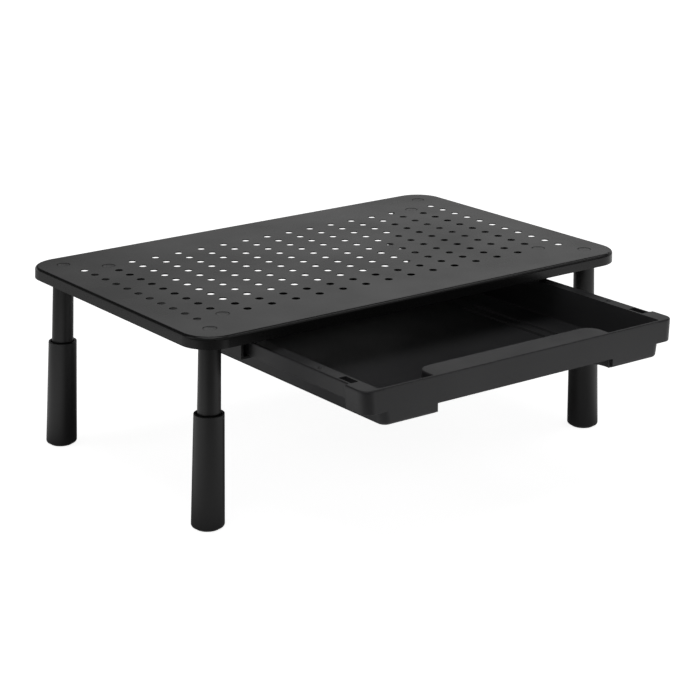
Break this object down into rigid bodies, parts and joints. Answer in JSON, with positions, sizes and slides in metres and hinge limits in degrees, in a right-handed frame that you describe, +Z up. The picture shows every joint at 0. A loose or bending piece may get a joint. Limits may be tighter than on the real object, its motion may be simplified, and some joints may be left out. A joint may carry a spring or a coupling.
{
  "type": "monitor riser stand",
  "caption": "Low desk riser with a perforated steel platform, telescoping plastic legs and a shallow slide-out drawer.",
  "frame": {"origin": "centre of the platform's top face", "axes": "+Z up, +X along the platform's long side, +Y to the back; the drawer pulls out towards -Y"},
  "size_m": [0.3714, 0.3395, 0.1293],
  "materials": {
    "platform_steel": "black satin powder coat",
    "coated_stud": "black satin powder coat",
    "insert_brass": "machined",
    "tube_plastic": "black, semi-matte moulding",
    "sleeve_plastic": "black, semi-matte moulding",
    "pad_rubber": "matt black rubber",
    "rail_plastic": "black moulding",
    "zinc_steel": "bright zinc",
    "drawer_plastic": "black, fine-textured moulding"
  },
  "bodies": {
    "stand": {"top_plate": "platform_steel", "leg_studs": "coated_stud", "rail_studs": "coated_stud", "leg_inserts": "insert_brass", "tube_fl": "tube_plastic", "tube_fr": "tube_plastic", "tube_rl": "tube_plastic", "tube_rr": "tube_plastic", "rail_left": "rail_plastic", "rail_right": "rail_plastic", "rail_washers": "zinc_steel", "rail_nuts": "zinc_steel"},
    "drawer": {"drawer_tray": "drawer_plastic"},
    "foot_fl": {"pad_fl": "pad_rubber"},
    "lower_leg_fl": {"sleeve_fl": "sleeve_plastic"},
    "foot_fr": {"pad_fr": "pad_rubber"},
    "lower_leg_fr": {"sleeve_fr": "sleeve_plastic"},
    "foot_rl": {"pad_rl": "pad_rubber"},
    "lower_leg_rl": {"sleeve_rl": "sleeve_plastic"},
    "foot_rr": {"pad_rr": "pad_rubber"},
    "lower_leg_rr": {"sleeve_rr": "sleeve_plastic"}
  },
  "joints": [
    {"name": "drawer_slide", "type": "slide", "parent": "stand", "child": "drawer", "axis": [0, -1, 0], "range_m": [-0.1095, 0.04]},
    {"name": "leg_height_fl", "type": "slide", "parent": "stand", "child": "foot_fl", "axis": [0, 0, 1], "range_m": [0, 0.04]},
    {"name": "leg_lock_fl", "type": "hinge", "parent": "foot_fl", "child": "lower_leg_fl", "pos_m": [-0.1648, -0.0975, -0.0795], "axis": [0, 0, 1], "range_deg": [0, 35]},
    {"name": "leg_height_fr", "type": "slide", "parent": "stand", "child": "foot_fr", "axis": [0, 0, 1], "range_m": [0, 0.04]},
    {"name": "leg_lock_fr", "type": "hinge", "parent": "foot_fr", "child": "lower_leg_fr", "pos_m": [0.1648, -0.0975, -0.0795], "axis": [0, 0, 1], "range_deg": [0, 35]},
    {"name": "leg_height_rl", "type": "slide", "parent": "stand", "child": "foot_rl", "axis": [0, 0, 1], "range_m": [0, 0.04]},
    {"name": "leg_lock_rl", "type": "hinge", "parent": "foot_rl", "child": "lower_leg_rl", "pos_m": [-0.1648, 0.0975, -0.0795], "axis": [0, 0, 1], "range_deg": [0, 35]},
    {"name": "leg_height_rr", "type": "slide", "parent": "stand", "child": "foot_rr", "axis": [0, 0, 1], "range_m": [0, 0.04]},
    {"name": "leg_lock_rr", "type": "hinge", "parent": "foot_rr", "child": "lower_leg_rr", "pos_m": [0.1648, 0.0975, -0.0795], "axis": [0, 0, 1], "range_deg": [0, 35]}
  ]
}
